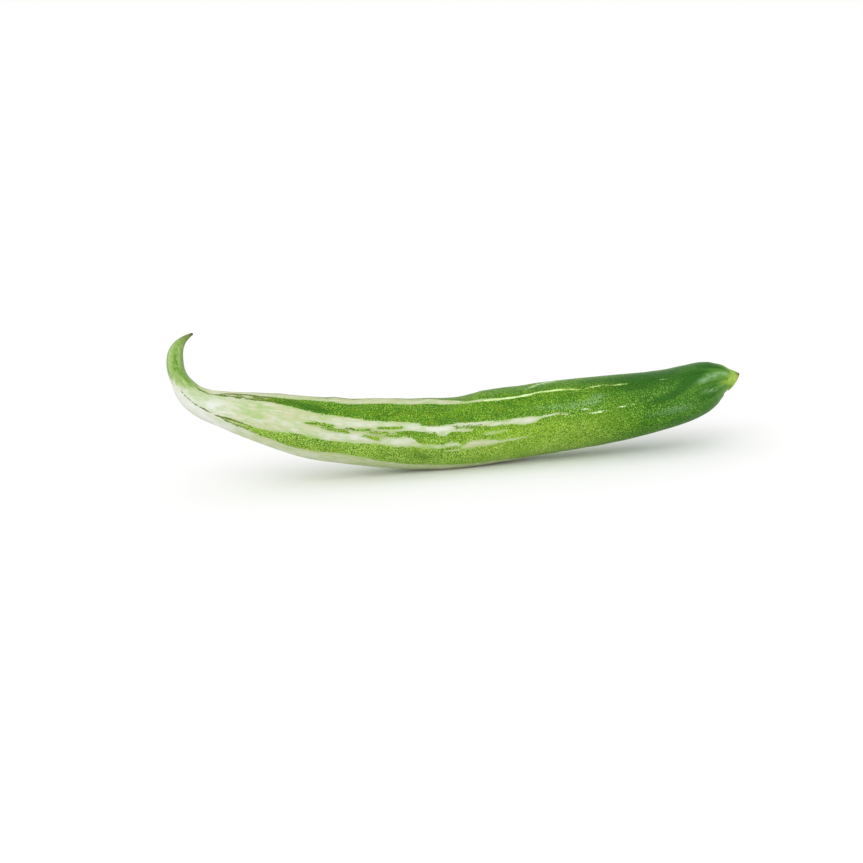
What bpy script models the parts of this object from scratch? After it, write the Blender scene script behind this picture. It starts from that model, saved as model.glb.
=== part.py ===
"""A short snake gourd as picked: the fruit with its curled blossom end, and the stub of its stalk.

Run it with: blender --background --python part.py
Metres, +Z up. The gourd lies along X with the stalk towards +X. It rests on a small flat spot of its belly,
on the plane z = 0, and the origin is on that plane under the middle of its length and width.
"""

import math

import bmesh
import bpy
import numpy as np
from mathutils import Vector

MM = 0.001

# The middle line of the gourd, from the dry tip at the blossom end to just past the stalk's cut face.
# Each station is x, y, height and the radius of the round section there, in millimetres.
STATIONS = (
    (-161.9, 6.0, 99.0, 0.7),
    (-164.5, 5.7, 97.8, 1.3),
    (-168.0, 5.1, 95.7, 2.3),
    (-171.4, 4.3, 92.3, 3.7),
    (-173.6, 3.3, 88.1, 4.8),
    (-174.5, 2.2, 83.1, 5.4),
    (-174.4, 1.1, 77.1, 5.7),
    (-172.8, -0.1, 71.1, 6.3),
    (-170.0, -1.1, 65.7, 7.4),
    (-165.6, -2.0, 60.2, 8.5),
    (-158.5, -2.8, 55.2, 9.8),
    (-144.9, -3.5, 50.1, 11.9),
    (-131.8, -3.8, 46.0, 14.4),
    (-115.0, -3.8, 40.8, 17.2),
    (-97.3, -3.4, 35.1, 19.4),
    (-68.7, -2.4, 29.3, 20.8),
    (-37.2, -1.3, 24.7, 22.3),
    (-5.5, -0.4, 21.9, 22.8),
    (26.7, 0.4, 24.2, 23.3),
    (58.8, 0.9, 26.3, 22.7),
    (90.8, 0.9, 27.9, 21.8),
    (123.3, 0.3, 30.6, 19.5),
    (149.2, -0.6, 35.7, 17.3),
    (159.4, -1.1, 38.7, 15.0),
    (165.0, -1.4, 40.3, 12.4),
    (169.2, -1.6, 41.1, 9.7),
    (172.5, -1.8, 41.0, 7.4),
    (174.6, -1.9, 40.8, 6.2),
    (176.7, -2.1, 40.2, 5.5),
    (179.8, -2.3, 38.5, 4.9),
)

# The last stations are the stalk's. It is joined at the station before them, on a plane that leans a
# little, and it ends at a slanted cut.
STALK_STATIONS = 3
JOINT_LEAN = math.radians(-14)
JOINT_GAP = 0.3 * MM
CUT_POINT = Vector((177.1, -2.2, 40.3)) * MM
CUT_LEAN = math.radians(-36)

# The rings are closer together where the gourd is thin: a step is this part of the radius.
STEP_PER_RADIUS = 0.3
SHORTEST_STEP = 1.2
STALK_STEP = 0.8
SIDES = 28

# How far each piece is made past the joint before the joint's plane trims it, in millimetres.
OVERRUN = 2.0
WELD_DISTANCE = 0.01 * MM
PLANE_TOLERANCE = 0.001 * MM

FRUIT_GREEN = (0.17, 0.33, 0.055, 1.0)
FRUIT_ROUGHNESS = 0.45
STALK_GREEN = (0.32, 0.49, 0.08, 1.0)
STALK_ROUGHNESS = 0.6
SHARP_ANGLE = math.radians(40)

VALUES = np.array(STATIONS)
CHORDS = np.linalg.norm(np.diff(VALUES[:, :3], axis=0), axis=1)
DISTANCES = np.concatenate(([0.0], np.cumsum(CHORDS)))
SLOPES = np.gradient(VALUES, DISTANCES, axis=0)
JOINT_STATION = len(STATIONS) - 1 - STALK_STATIONS
JOINT_POINT = Vector(STATIONS[JOINT_STATION][:3]) * MM


def clear_scene():
    for obj in list(bpy.data.objects):
        bpy.data.objects.remove(obj, do_unlink=True)


def new_collection(name):
    collection = bpy.data.collections.new(name)
    bpy.context.scene.collection.children.link(collection)
    return collection


def plain_material(name, colour, roughness):
    material = bpy.data.materials.new(name)
    material.use_nodes = True
    shader = material.node_tree.nodes["Principled BSDF"]
    shader.inputs["Base Color"].default_value = colour
    shader.inputs["Roughness"].default_value = roughness
    shader.inputs["Metallic"].default_value = 0.0
    material.diffuse_color = colour
    return material


def section_at(distance):
    """The x, y, height and radius at a distance along the line, on a smooth cubic through the stations."""
    last_span = len(DISTANCES) - 2
    first = int(np.clip(np.searchsorted(DISTANCES, distance) - 1, 0, last_span))
    span = DISTANCES[first + 1] - DISTANCES[first]
    part = (distance - DISTANCES[first]) / span
    start_weight = 2 * part**3 - 3 * part**2 + 1
    start_slope_weight = (part**3 - 2 * part**2 + part) * span
    end_slope_weight = (part**3 - part**2) * span
    return (
        start_weight * VALUES[first]
        + (1 - start_weight) * VALUES[first + 1]
        + start_slope_weight * SLOPES[first]
        + end_slope_weight * SLOPES[first + 1]
    )


def fruit_distances():
    """From the dry tip to just past the joint."""
    end = DISTANCES[JOINT_STATION] + OVERRUN
    distances = [0.0]
    while distances[-1] < end:
        radius = section_at(distances[-1])[3]
        distances.append(distances[-1] + max(SHORTEST_STEP, STEP_PER_RADIUS * radius))
    return distances


def stalk_distances():
    """From just before the joint to the end of the line, which is past the cut."""
    start = DISTANCES[JOINT_STATION] - OVERRUN
    count = round((DISTANCES[-1] - start) / STALK_STEP) + 1
    return np.linspace(start, DISTANCES[-1], count)


def round_body(name, distances, collection, material):
    """A closed body with round sections along the middle line: a curve with a bevel, made a mesh."""
    curve = bpy.data.curves.new(name + " line", "CURVE")
    curve.dimensions = "3D"
    curve.bevel_depth = MM
    curve.bevel_resolution = (SIDES - 4) // 2
    curve.use_fill_caps = True
    spline = curve.splines.new("POLY")
    spline.points.add(len(distances) - 1)
    for point, distance in zip(spline.points, distances):
        x, y, height, radius = section_at(distance)
        point.co = (x * MM, y * MM, height * MM, 1.0)
        point.radius = radius
    line = bpy.data.objects.new(name + " line", curve)
    collection.objects.link(line)
    evaluated = line.evaluated_get(bpy.context.evaluated_depsgraph_get())
    body = bpy.data.objects.new(name, bpy.data.meshes.new_from_object(evaluated))
    body.matrix_world = line.matrix_world
    collection.objects.link(body)
    bpy.data.objects.remove(line, do_unlink=True)
    body.data.name = name
    body.data.materials.clear()
    body.data.materials.append(material)
    weld_caps(body.data)
    return body


def weld_caps(mesh):
    cage = bmesh.new()
    cage.from_mesh(mesh)
    bmesh.ops.remove_doubles(cage, verts=cage.verts, dist=WELD_DISTANCE)
    bmesh.ops.recalc_face_normals(cage, faces=cage.faces)
    cage.to_mesh(mesh)
    cage.free()


def trim(body, point, outward):
    """Cut the body with a plane, drop what lies beyond it, and close the cut with a flat face."""
    cage = bmesh.new()
    cage.from_mesh(body.data)
    cut = bmesh.ops.bisect_plane(
        cage,
        geom=cage.verts[:] + cage.edges[:] + cage.faces[:],
        dist=PLANE_TOLERANCE,
        plane_co=point,
        plane_no=outward,
        clear_outer=True,
    )
    rim = [item for item in cut["geom_cut"] if isinstance(item, bmesh.types.BMEdge)]
    bmesh.ops.holes_fill(cage, edges=rim)
    bmesh.ops.recalc_face_normals(cage, faces=cage.faces)
    cage.to_mesh(body.data)
    cage.free()


def leaning(angle):
    """The direction along +X, turned up by this angle in the upright plane."""
    return Vector((math.cos(angle), 0.0, math.sin(angle)))


def shade_round(body):
    body.data.shade_smooth()
    body.data.set_sharp_from_angle(angle=SHARP_ANGLE)


def build_fruit(collection):
    skin = plain_material("fruit skin", FRUIT_GREEN, FRUIT_ROUGHNESS)
    fruit = round_body("fruit", fruit_distances(), collection, skin)
    trim(fruit, JOINT_POINT, leaning(JOINT_LEAN))
    trim(fruit, Vector((0.0, 0.0, 0.0)), Vector((0.0, 0.0, -1.0)))
    shade_round(fruit)


def build_stalk(collection):
    skin = plain_material("stalk skin", STALK_GREEN, STALK_ROUGHNESS)
    stalk = round_body("stalk", stalk_distances(), collection, skin)
    joint = leaning(JOINT_LEAN)
    trim(stalk, JOINT_POINT + joint * JOINT_GAP, -joint)
    trim(stalk, CUT_POINT, leaning(CUT_LEAN))
    shade_round(stalk)


def main():
    clear_scene()
    gourd = new_collection("snake gourd")
    build_fruit(gourd)
    build_stalk(gourd)


main()
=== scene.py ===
"""The looks of a short snake gourd: its striped skin, the stub of its stalk, a pale floor and soft light.

Places on the skin are given as a distance along the middle line from the dry tip, in millimetres, and an
angle round the gourd in degrees: 0 faces the camera, 90 is the upper side, 180 is behind.
"""

import math

import bpy
import numpy as np
from mathutils import Matrix, Vector, noise


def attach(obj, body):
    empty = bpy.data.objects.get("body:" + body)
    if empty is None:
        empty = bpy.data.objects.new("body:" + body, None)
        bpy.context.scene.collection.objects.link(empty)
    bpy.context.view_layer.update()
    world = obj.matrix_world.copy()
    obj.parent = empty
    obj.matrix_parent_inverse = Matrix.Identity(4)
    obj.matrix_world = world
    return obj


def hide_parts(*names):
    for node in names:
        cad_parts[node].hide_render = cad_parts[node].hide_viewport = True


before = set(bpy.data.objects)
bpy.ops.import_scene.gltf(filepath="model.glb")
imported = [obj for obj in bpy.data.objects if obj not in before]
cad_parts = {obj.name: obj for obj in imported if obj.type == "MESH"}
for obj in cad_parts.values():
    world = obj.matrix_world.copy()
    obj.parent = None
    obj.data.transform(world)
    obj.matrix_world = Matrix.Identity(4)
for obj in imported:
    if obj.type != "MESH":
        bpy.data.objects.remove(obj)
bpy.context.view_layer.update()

MM = 0.001

# The middle line, as in the part's source: x, y, height and the radius there, in millimetres.
STATIONS = (
    (-161.9, 6.0, 99.0, 0.7),
    (-164.5, 5.7, 97.8, 1.3),
    (-168.0, 5.1, 95.7, 2.3),
    (-171.4, 4.3, 92.3, 3.7),
    (-173.6, 3.3, 88.1, 4.8),
    (-174.5, 2.2, 83.1, 5.4),
    (-174.4, 1.1, 77.1, 5.7),
    (-172.8, -0.1, 71.1, 6.3),
    (-170.0, -1.1, 65.7, 7.4),
    (-165.6, -2.0, 60.2, 8.5),
    (-158.5, -2.8, 55.2, 9.8),
    (-144.9, -3.5, 50.1, 11.9),
    (-131.8, -3.8, 46.0, 14.4),
    (-115.0, -3.8, 40.8, 17.2),
    (-97.3, -3.4, 35.1, 19.4),
    (-68.7, -2.4, 29.3, 20.8),
    (-37.2, -1.3, 24.7, 22.3),
    (-5.5, -0.4, 21.9, 22.8),
    (26.7, 0.4, 24.2, 23.3),
    (58.8, 0.9, 26.3, 22.7),
    (90.8, 0.9, 27.9, 21.8),
    (123.3, 0.3, 30.6, 19.5),
    (149.2, -0.6, 35.7, 17.3),
    (159.4, -1.1, 38.7, 15.0),
    (165.0, -1.4, 40.3, 12.4),
    (169.2, -1.6, 41.1, 9.7),
    (172.5, -1.8, 41.0, 7.4),
    (174.6, -1.9, 40.8, 6.2),
    (176.7, -2.1, 40.2, 5.5),
    (179.8, -2.3, 38.5, 4.9),
)

# The last stations are the stalk's. The joint and the cut at its end are leaning planes.
STALK_STATIONS = 3
JOINT_LEAN = math.radians(-14)
CUT_POINT = np.array((177.1, -2.2, 40.3))
CUT_LEAN = math.radians(-36)

VALUES = np.array(STATIONS)
CHORDS = np.linalg.norm(np.diff(VALUES[:, :3], axis=0), axis=1)
DISTANCES = np.concatenate(([0.0], np.cumsum(CHORDS)))
SLOPES = np.gradient(VALUES, DISTANCES, axis=0)
JOINT_STATION = len(STATIONS) - 1 - STALK_STATIONS
JOINT_DISTANCE = DISTANCES[JOINT_STATION]
JOINT_POINT = VALUES[JOINT_STATION, :3]

# The camera looks slightly down at the gourd's long side, and it is rolled as the photograph is.
ELEVATION = math.radians(12)
ROLL = math.radians(5)
AIM = Vector((-17.1, 0.0, 23.9)) * MM
LENS = 85.0
SENSOR = 36.0
SEEN_WIDTH = 548.9 * MM
CLIP = (0.05, 30.0)
TO_CAMERA = np.array((0.0, -math.cos(ELEVATION), math.sin(ELEVATION)))

# The light: an even white surround, and a broad soft light from above, to the left of the camera.
SURROUND_STRENGTH = 1.0
LIGHT_STRENGTH = 0.85
LIGHT_SPREAD = math.radians(60)
LIGHT_FROM = Vector((-0.25, -1.0, 0.75))

# The floor is a wide disc, given as x, y and radius in metres.
FLOOR_DISC = (0.0, 0.0, 9.0)
FLOOR_SIDES = 96
FLOOR_ROUGHNESS = 0.9
FLOOR_SPECULAR = 0.1

# The fine grain of light flecks, dark specks and light dots in the green, in millimetres, the areas in
# which the light flecks are denser, how far fibres are drawn out, and the skin's faint gloss.
FLECK_SIZE = 0.55
SPECK_SIZE = 0.85
DOT_SPACING = 1.15
FLECK_CLOUD_SIZE = 12
FIBRE_SQUEEZE = 0.16
SKIN_SPECULAR = 0.16

# The skin's mesh: the step from ring to ring, smaller where the gourd is thin, and how far from the joint
# the rings begin to lean over to its plane.
RING_STEP = 0.75
THIN_STEP = 0.1
THIN_STEP_PER_RADIUS = 0.2
SIDES = 160
SEAM_ANGLE = -100
JOINT_BLEND = 12

# The joint and the cut are found by halving, this often, a stretch that begins this far before the joint.
HALVINGS = 30
JOINT_REACH = 6
CUT_REACH = 4

# The stub's mesh: the rings of its side and their parts of the length, and those of its cut face and their
# shares of the rim's radius.
STUB_RINGS = 40
STUB_SIDES = 96
CUT_RINGS = 14
STUB_PARTS = np.linspace(0, 1, STUB_RINGS)
CUT_SHARES = 1 - np.arange(1, CUT_RINGS) / CUT_RINGS

# The stub's shape in millimetres: how far it reaches into the fruit and is narrower there, how it flares and
# is rounded at the cut, how its low side is dented and comes out again, and how the cut face is sunk.
STUB_TUCK = 0.8
STUB_NARROWING = 0.12
STUB_FLARE = 0.25
RIM_ROUNDING = 0.35
RIDGE_COUNT = 5
RIDGE_SHARE = 0.035
RIDGE_SHIFT = 0.6
LOW_SIDE_ANGLE = -80
LOW_SIDE_HALF_WIDTH = 45
LOW_SIDE_DENT = 0.7
LOW_SIDE_RETURN = 0.5
LOW_SIDE_REACH = 0.5
CUT_DEPTH = 0.5
CUT_RISE = 0.25

# The maps for baking. The fruit's rings fill strips of its map, and its two ends are small discs above them.
# The stub's side has a margin, a width and a height.
BAKE_STRIPS = 2
BAKE_MARGIN = 0.006
STRIPS_HEIGHT = 0.97
TIP_DISC = (0.02, 0.985, 0.012)
JOINT_DISC = (0.05, 0.985, 0.012)
STUB_MAP = (0.01, 0.98, 0.46)
CUT_DISC = (0.75, 0.75, 0.22)

# Patterns that run straight along the gourd lie on a tube of this radius.
STRAIGHT_RADIUS = 22

# Slow swellings and finer dents of the skin: how high, how long and how wide they are, in millimetres. They
# fade where the gourd is thinner than this radius, and over this length at the joint.
SWELLINGS = (
    (0.3, 34, 20),
    (0.16, 11, 8),
)
SWELLING_SHIFT = 7.3
FULL_SWELLING_RADIUS = 12
FADE_LENGTH = 10

# Low bumps and dents of the outline: the distance along, the angle, half the length, half the width in
# degrees, and the height in millimetres.
BUMPS = (
    (34, -90, 7, 40, -0.7), (118, 72, 5, 30, 0.2), (138, 72, 5, 30, 0.65), (150, 72, 4, 30, -0.35),
    (166, 72, 11, 30, 0.6), (188, 70, 5, 30, -0.5), (201, 70, 6, 30, 0.55), (226, 68, 8, 30, -0.65),
    (238, 70, 3, 30, 0.45), (262, 68, 7, 30, -0.6), (327, 68, 14, 30, 0.4), (360, 66, 12, 35, -1.2),
    (385, 70, 6, 35, 0.8), (388, -64, 6, 35, -1.3), (373, -72, 6, 30, 0.25),
)

# Green bands on the pale ground. Each row is the distance along, the lower edge and the upper edge.
GREEN_BANDS = (
    # upper
    (
        (94, 44, 49), (98, 41, 56), (102, 38, 56), (108, 37, 56), (114, 34, 58), (118, 33.5, 59),
        (122, 31.5, 60), (129, 28.5, 59), (134, 25.5, 56.5), (140, 26, 56), (146, 25.5, 54.5),
        (150, 24, 55), (156, 22, 56), (162, 20, 55), (170, 20, 56), (180, 18.5, 55), (187, 18, 56),
        (193, 17, 56), (195, 14, 56), (202, 12.5, 56), (210, 13.5, 54), (214, 14, 54), (218, 15, 52),
        (222, 14, 51), (227, 12.5, 58), (233, 11, 60), (240, 7.5, 60), (246, 6, 60), (252, 6, 60),
        (256, 7, 60), (260, 6, 60), (267, 5, 60), (272, 4, 60), (282, 5, 60), (288, 3, 60), (292, -10, 60),
        (410, -10, 60),
    ),
    # middle
    (
        (176, 1, 2.4), (179, 0, 3.4), (181, -4, 4), (188, -5.5, 3.8), (190.5, -8, 3.4), (192.5, -14, 3),
        (195, -18, 2.5), (199, -24, 2), (203.5, -28, 1.6), (205, -30, -2), (210, -30, -4.4),
        (212.5, -30, 1.5), (217, -30, 2), (221, -30, -1), (225, -30, -1.5), (229, -30, 1), (232, -30, 4),
        (238, -30, 1.5), (242, -30, 0), (248, -30, -1), (254, -30, -2), (258, -30, -4), (264, -30, -5),
        (268, -30, -4), (270, -30, -1), (273, -30, 2), (282, -30, 2), (285, -30, 0), (288, -30, 0.5),
        (292, -40, 10), (410, -40, 10),
    ),
    # lower
    (
        (80, -31, -29.4), (85, -33.4, -28), (89, -38, -26), (92, -41, -26), (96, -43, -26),
        (100, -45, -25), (104, -45.5, -22), (110, -46, -18), (114, -47, -16), (119, -45, -15),
        (125, -44, -17), (132, -45, -18.5), (138, -44, -19.5), (144, -44.5, -20), (150, -45, -20),
        (158, -48, -20), (162, -50, -21), (168, -53, -18.5), (173, -54.5, -20), (182, -58, -22),
        (192, -60, -22.5), (196, -60, -24), (199, -60, -18), (204, -60, -14), (213, -61, -10),
        (224, -64, -10), (246, -70, -10), (268, -82, -10), (290, -120, -10), (410, -180, -10),
    ),
    # crest
    (
        (183, 84, 88), (192, 78, 92), (204, 72, 98), (216, 66, 104), (229, 54, 108), (240, 42, 110),
        (290, 42, 116), (320, 40, 150), (410, 40, 180),
    ),
    # behind the crest
    (
        (58, 98, 100), (70, 92, 106), (96, 90, 112), (120, 93, 110), (150, 90, 112), (180, 96, 116),
        (215, 104, 122), (250, 110, 126), (300, 108, 140), (410, 100, 180),
    ),
    # upper band behind
    (
        (88, 132, 138), (100, 126, 146), (118, 128, 152), (140, 124, 150), (165, 130, 156),
        (190, 128, 160), (220, 134, 162), (250, 130, 170), (290, 128, 182), (410, 120, 200),
    ),
    # lower band behind
    (
        (80, 176, 182), (96, 170, 190), (120, 172, 196), (150, 168, 192), (178, 174, 200), (205, 170, 204),
        (240, 176, 210), (270, 168, 220), (410, 150, 240),
    ),
    # band under the belly
    (
        (92, 214, 224), (110, 210, 232), (140, 216, 236), (170, 210, 238), (205, 216, 244),
        (250, 212, 250), (290, 208, 262), (410, 200, 290),
    ),
)

# The ragged edges eat into thin marks, so these are drawn this much wider on each side, in millimetres.
STREAK_GROWTH = 0.35
DASH_GROWTH = 0.5

# A band or streak grows deeper by this much per millimetre from its ends, which tapers them. No mark is
# counted as deeper than this, in millimetres.
END_SLOPE = 0.4
DEEPEST = 6.0

# Short green dashes in the pale ground, as the bands are given.
GREEN_DASHES = (
    ((121.5, 7, 8.5), (125, 6, 10), (130, 6.5, 9)),
    ((129.5, 5.5, 7), (133, 4.5, 7.5), (137.5, 4.5, 6.8)),
    ((133, -0.6, 0.6), (139, -2, 1), (144, -2.5, 0.5), (148, -2.5, -0.5)),
    ((152, 2, 3.2), (157, 1.4, 4), (161, 2, 4)),
    ((161, -0.4, 0.4), (166, -1.2, 1), (172.5, 0.2, 1.4)),
    ((159, -6, -5.2), (162, -8.6, -6.8), (166.5, -11, -9.4)),
    ((171, -4.3, -3.7), (176, -4.8, -3.6), (181, -4.6, -3)),
    ((168, 7.4, 8.4), (175, 7.2, 9), (181.5, 8, 9)),
    ((218, 7.4, 8), (224, 5.4, 6), (231, 3.6, 4)),
    ((130, 161.4, 161.8), (135, 159.4, 163), (142, 158, 162.6), (154, 159.6, 160)),
    ((144, 119.6, 120), (151, 118, 121), (160, 117.6, 121), (173, 120.6, 121)),
    ((118, 203.8, 204.2), (125, 201.4, 204.4), (132, 200.6, 203.8), (141, 202.4, 202.8)),
    ((156, 247.4, 248), (168, 244.6, 250), (184, 243.4, 249.4), (207, 247.8, 248.2)),
)

# Pale streaks on the green, as the bands are given.
PALE_STREAKS = (
    # between the upper band and the crest
    ((224, 50, 56), (229, 49.5, 54), (236, 46, 50), (240, 44.5, 48), (246, 43.5, 46)),
    # below the middle band
    ((195, -23.5, -19.5), (199, -23.5, -18.5), (204, -24.5, -18.5), (208, -24, -19)),
    ((207, -22, -20.5), (210, -21.5, -17), (213.5, -21, -14.8), (216.5, -21.5, -16), (219, -22.5, -20)),
    ((210.5, -29.4, -28), (214, -29, -27.4), (219, -27.6, -26.6)),
    (
        (219, -26.5, -24.5), (222, -27.2, -20), (225, -27.5, -17), (230, -27.6, -18), (235, -28, -19),
        (239, -27.4, -21), (243, -26.4, -23.6), (247, -26.2, -24.4), (252, -26.2, -24.8),
        (256, -25.8, -24.8), (259, -25.6, -25),
    ),
    ((236, -10.2, -8.8), (240, -11.8, -7.8), (243.5, -11.4, -8.4), (248, -10, -8.8)),
    # behind
    ((258, 122, 122.6), (266, 121.4, 124), (280, 122, 125), (296, 123, 126), (308, 125, 125.6)),
    (
        (252, 167.4, 168), (262, 166, 171.6), (272, 168, 174), (284, 171, 175), (298, 173, 175.4),
        (312, 175, 175.5),
    ),
    ((246, 206, 206.6), (258, 204.6, 210), (268, 207, 213), (284, 209, 213), (299, 211.5, 212)),
    ((260, 188.6, 189), (268, 188, 190.6), (277, 189, 192), (291, 190.4, 190.8)),
)

# Thin pale lines on the green. Each row is the distance along, the angle and half the width in mm.
PALE_LINES = (
    # the long line below the crest
    (
        (238, 46.4, 0.5), (243, 45, 0.8), (248, 44, 0.8), (254, 44, 0.95), (258, 44, 0.7),
        (262, 44.4, 0.85), (267, 45, 0.8), (270, 46.4, 0.6), (274, 46, 0.66), (280, 46, 0.62),
        (286, 46, 0.6), (292, 44.4, 0.56), (297, 42, 0.3), (299, 42, 0.16), (302, 42.6, 0.36),
        (308, 43.6, 0.5), (311, 44.4, 0.3), (314, 45, 0.4), (317, 43, 0.2), (322, 42.4, 0.34),
        (327, 43, 0.3), (331, 42.6, 0.1),
    ),
    # short dashes towards the stalk
    ((297, 5.4, 0), (300, 4.8, 0.26), (303.5, 4.2, 0)),
    ((299, -3, 0.04), (302, -2.6, 0.2), (309, -2, 0.36), (313, -1.8, 0.06)),
    ((307.5, 3, 0), (311, 3, 0.18), (314.5, 3, 0)),
    ((320, -0.4, 0.06), (323, 0.4, 0.42), (326, 1, 0.16)),
    ((329.2, 2, 0.18), (331.4, 2, 0.18)),
    ((351, 41.4, 0), (355, 41, 0.14), (359, 40.4, 0)),
    # painted highlights near the top: whitish streaks along the crest
    ((264, 60, 0.2), (268, 64, 0.5), (271, 65, 0.3)),
    ((270, 69, 0.2), (274, 72, 0.6), (279, 75, 0.7), (284, 78, 0.4), (290, 82, 0.3), (296, 85, 0.15)),
    ((298, 80, 0.15), (304, 84, 0.4), (312, 86, 0.36), (320, 86, 0.15)),
    # behind
    ((268, 140, 0.2), (290, 143, 0.45), (318, 146, 0.2)),
    ((300, 190, 0.2), (316, 192, 0.4), (328, 193, 0.2)),
)

# Thin dark lines along the pale ground, given in the same way.
DARK_LINES = (
    # towards the tail, low
    (
        (41, -16, -0.1), (45, -15, 0.1), (49, -14.5, -0.16), (52, -15, 0.14), (55, -15.8, -0.1),
        (58, -17, 0.4), (61, -20, 0.2), (62.5, -21, -0.3),
    ),
    (
        (65.5, -25.5, -0.1), (68, -25, 0.3), (70, -28, 0.16), (73, -33, 0.5), (76, -33.6, 0.1),
        (80, -35, 0.36), (84, -36, 0.1), (92, -42, 0),
    ),
    ((70, -24, 0), (74, -24, 0.4), (78, -24, 0.1), (82, -24.6, 0.4), (86, -26, 0.1), (90, -26, 0.1)),
    # towards the tail, high
    (
        (60, 46, 0), (64, 48, 0.4), (68, 48, 0.8), (72, 47, 0.4), (77, 45.6, 0.7), (81, 45, 0.3),
        (86, 43, 0.6), (90, 43, 0.4), (97, 43, 0.5), (103, 40, 0.2),
    ),
    (
        (66, 56, 0), (70, 60, 0.5), (74, 62, 0.7), (79, 62, 0.4), (84, 60, 0.7), (90, 57, 0.5),
        (95, 55, 0.6), (100, 54, 0.2),
    ),
    ((76, 55, 0), (78, 54, 0.3), (80, 52, 0)),
    ((86, 52, 0), (90, 50, 0.5), (94, 48, 0.2)),
    ((43, 56, 0.1), (46, 52, 0.5), (50, 49, 0.5), (54, 46, 0.2), (58, 45, 0.12), (60, 45, 0.05)),
    # in the middle
    ((146, 4, 0.12), (150, 4.2, 0.3), (154, 4, 0.24)),
    ((162, 2, 0.12), (165, 1.7, 0.28), (168, 1, 0.12)),
    ((215, 10.5, 0), (222, 8.5, 0.08), (228, 7, 0.04), (234, 5.5, 0)),
    # along the top rim
    (
        (186, 78, -0.1), (191, 76, 0.2), (196, 74, 0.4), (200, 76, 0.1), (206, 74, 0.7), (212, 72, 0.5),
        (217, 70, 0.2), (222, 66, 0.5), (227, 62, 0.3), (231, 58, 0),
    ),
    ((128, 76, -0.1), (133, 73, 0.25), (139, 72, 0), (150, 75, 0.2), (156, 76, -0.1)),
    # behind
    ((46, 100, 0.15), (58, 104, 0.3), (72, 108, 0.3), (90, 112, 0.15)),
    ((52, 138, 0.15), (66, 134, 0.3), (78, 132, 0.34), (92, 134, 0.25)),
    ((50, 186, 0.15), (62, 182, 0.3), (74, 178, 0.34), (84, 178, 0.25)),
    ((60, 226, 0.15), (72, 222, 0.3), (84, 220, 0.34), (95, 219, 0.25)),
)

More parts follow.
